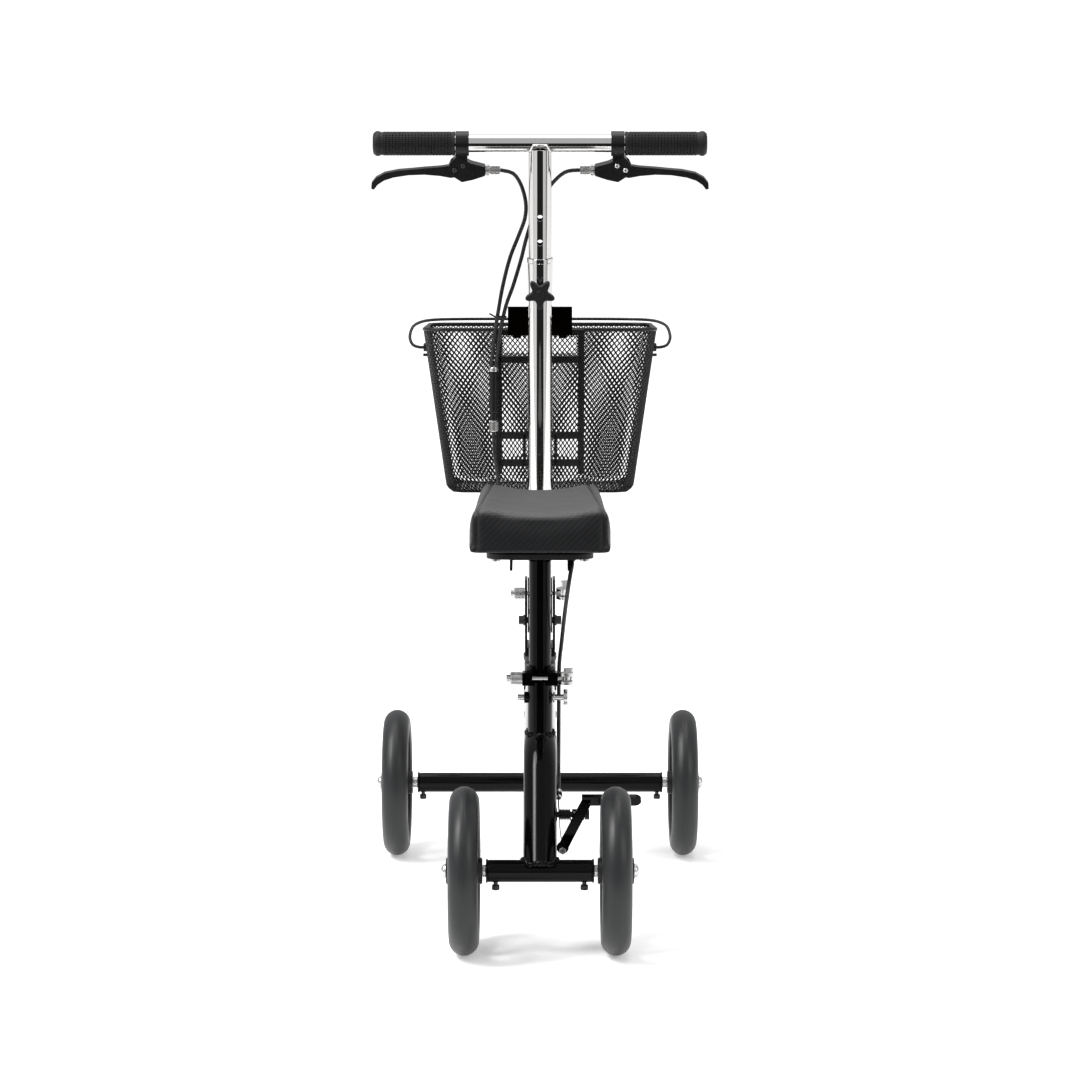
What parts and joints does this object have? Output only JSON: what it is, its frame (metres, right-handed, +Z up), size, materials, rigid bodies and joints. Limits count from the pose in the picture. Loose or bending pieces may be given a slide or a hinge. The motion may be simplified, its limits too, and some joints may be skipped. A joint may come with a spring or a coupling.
{
  "type": "knee scooter",
  "caption": "Knee scooter with a padded knee rest, folding steering column, telescopic handlebar, hand brakes and a lift-off mesh basket.",
  "frame": {"origin": "on the ground, midway between the rearmost and foremost points and on the centre plane", "axes": "+Z up, +Y forwards in the direction of travel, +X to the rider's right"},
  "size_m": [0.427, 0.89, 0.9385],
  "materials": {
    "frame_black": "gloss",
    "chrome": "polished",
    "zinc_steel": "satin",
    "dark_steel": "blackened",
    "tyre_rubber": "satin",
    "hub_plastic": "satin",
    "grip_rubber": "matte",
    "lever_plastic": "satin",
    "knob_plastic": "gloss",
    "pad_vinyl": "woven-look vinyl",
    "board_plastic": "matte",
    "cable_sheath": "gloss",
    "basket_black": "powder coat",
    "plate_brown": "dark gloss"
  },
  "bodies": {
    "frame": {"main_tube": "frame_black", "seat_tube": "frame_black", "rear_axle_tube": "frame_black", "head_tube": "frame_black", "headset_bearings": "dark_steel", "rear_axle_plugs": "frame_black", "rear_axle_screws": "dark_steel", "rear_axle_bolts": "zinc_steel", "seat_clamp_collar": "frame_black", "seat_clamp_skewer": "zinc_steel", "brake_bracket": "frame_black", "brake_pivot_bolt": "zinc_steel", "frame_cable": "cable_sheath"},
    "seat": {"seat_post": "frame_black", "seat_bracket": "frame_black", "pad_board": "board_plastic", "knee_pad": "pad_vinyl", "pad_bolts": "zinc_steel"},
    "seat_clamp": {"seat_clamp_lever": "zinc_steel"},
    "seat_lock_pin": {"seat_pin": "zinc_steel"},
    "steering": {"front_axle_tube": "frame_black", "steering_spindle": "frame_black", "fold_yoke": "frame_black", "front_axle_plugs": "frame_black", "front_axle_screws": "dark_steel", "front_axle_bolts": "zinc_steel", "fold_bolt": "dark_steel"},
    "column": {"column_tube": "chrome", "fold_skewer": "chrome", "hook_plate": "plate_brown", "cable_junction": "knob_plastic", "column_cable": "cable_sheath"},
    "fold_clamp": {"fold_lever": "chrome"},
    "height_knob": {"star_knob": "knob_plastic"},
    "handlebars": {"stem_tube": "chrome", "handlebar": "chrome", "left_grip": "grip_rubber", "right_grip": "grip_rubber", "lever_housings": "lever_plastic", "lever_fittings": "zinc_steel", "brake_cables": "cable_sheath"},
    "left_brake_lever": {"left_lever": "lever_plastic"},
    "right_brake_lever": {"right_lever": "lever_plastic"},
    "brake": {"brake_arm": "frame_black", "brake_spring": "zinc_steel"},
    "basket": {"basket_shell": "basket_black", "basket_frame": "basket_black"},
    "bail": {"basket_bail": "basket_black"},
    "rear_left_wheel": {"rear_left_tyre": "tyre_rubber", "rear_left_hub": "hub_plastic", "rear_left_bearings": "zinc_steel"},
    "rear_right_wheel": {"rear_right_tyre": "tyre_rubber", "rear_right_hub": "hub_plastic", "rear_right_bearings": "zinc_steel"},
    "front_left_wheel": {"front_left_tyre": "tyre_rubber", "front_left_hub": "hub_plastic", "front_left_bearings": "zinc_steel"},
    "front_right_wheel": {"front_right_tyre": "tyre_rubber", "front_right_hub": "hub_plastic", "front_right_bearings": "zinc_steel"}
  },
  "joints": [
    {"name": "rear_left_wheel_spin", "type": "hinge", "parent": "frame", "child": "rear_left_wheel", "pos_m": [-0.0855, -0.35, 0.095], "axis": [1, 0, 0], "continuous": true},
    {"name": "rear_right_wheel_spin", "type": "hinge", "parent": "frame", "child": "rear_right_wheel", "pos_m": [0.0855, -0.35, 0.095], "axis": [1, 0, 0], "continuous": true},
    {"name": "front_left_wheel_spin", "type": "hinge", "parent": "steering", "child": "front_left_wheel", "pos_m": [-0.187, 0.25, 0.095], "axis": [1, 0, 0], "continuous": true},
    {"name": "front_right_wheel_spin", "type": "hinge", "parent": "steering", "child": "front_right_wheel", "pos_m": [0.187, 0.25, 0.095], "axis": [1, 0, 0], "continuous": true},
    {"name": "steer", "type": "hinge", "parent": "frame", "child": "steering", "pos_m": [0, 0.25, 0.095], "axis": [0, -0.1392, 0.9903], "range_deg": [-40, 40]},
    {"name": "column_fold", "type": "hinge", "parent": "steering", "child": "column", "pos_m": [0, 0.21944, 0.31246], "axis": [-1, 0, 0], "range_deg": [-35, 0], "deforming": ["column_cable"]},
    {"name": "handlebar_height", "type": "slide", "parent": "column", "child": "handlebars", "axis": [0, -0.1392, 0.9903], "range_m": [-0.093, 0.093], "deforming": ["brake_cables"]},
    {"name": "left_lever_pull", "type": "hinge", "parent": "handlebars", "child": "left_brake_lever", "pos_m": [-0.107, 0.14193, 0.89195], "axis": [0, 0.9659, 0.2588], "range_deg": [0, 13], "stiffness_Nm_per_rad": 0.6, "springref_deg": -11.46},
    {"name": "right_lever_pull", "type": "hinge", "parent": "handlebars", "child": "right_brake_lever", "pos_m": [0.107, 0.14193, 0.89195], "axis": [0, -0.9659, -0.2588], "range_deg": [0, 13], "stiffness_Nm_per_rad": 0.6, "springref_deg": -11.46},
    {"name": "brake_swing", "type": "hinge", "parent": "frame", "child": "brake", "pos_m": [0, -0.255, 0.1424], "axis": [1, 0, 0], "range_deg": [0, 12], "stiffness_Nm_per_rad": 0.6, "springref_deg": -11.46},
    {"name": "knob_turn", "type": "hinge", "parent": "column", "child": "height_knob", "pos_m": [0, 0.12969, 0.73549], "axis": [0, -0.9903, -0.1392], "range_deg": [0, 720]},
    {"name": "seat_height", "type": "slide", "parent": "frame", "child": "seat", "axis": [0, 0, 1], "range_m": [-0.05, 0.03], "deforming": ["frame_cable"]},
    {"name": "seat_clamp_open", "type": "hinge", "parent": "frame", "child": "seat_clamp", "pos_m": [0.03, -0.262, 0.302], "axis": [0, 0, -1], "range_deg": [0, 150]},
    {"name": "fold_clamp_open", "type": "hinge", "parent": "column", "child": "fold_clamp", "pos_m": [0.0295, 0.21444, 0.34801], "axis": [0, 0.1392, -0.9903], "range_deg": [0, 150]},
    {"name": "seat_pin_pull", "type": "slide", "parent": "frame", "child": "seat_lock_pin", "axis": [1, 0, 0], "range_m": [0, 0.05]},
    {"name": "basket_lift", "type": "slide", "parent": "column", "child": "basket", "axis": [0, -0.1392, 0.9903], "range_m": [0, 0.02]},
    {"name": "bail_swing", "type": "hinge", "parent": "basket", "child": "bail", "pos_m": [0, 0.315, 0.662], "axis": [1, 0, 0], "range_deg": [0, 115]}
  ],
  "couplings": [
    {"joint": "brake_swing", "follows": "right_lever_pull", "ratio": 0.92208}
  ]
}
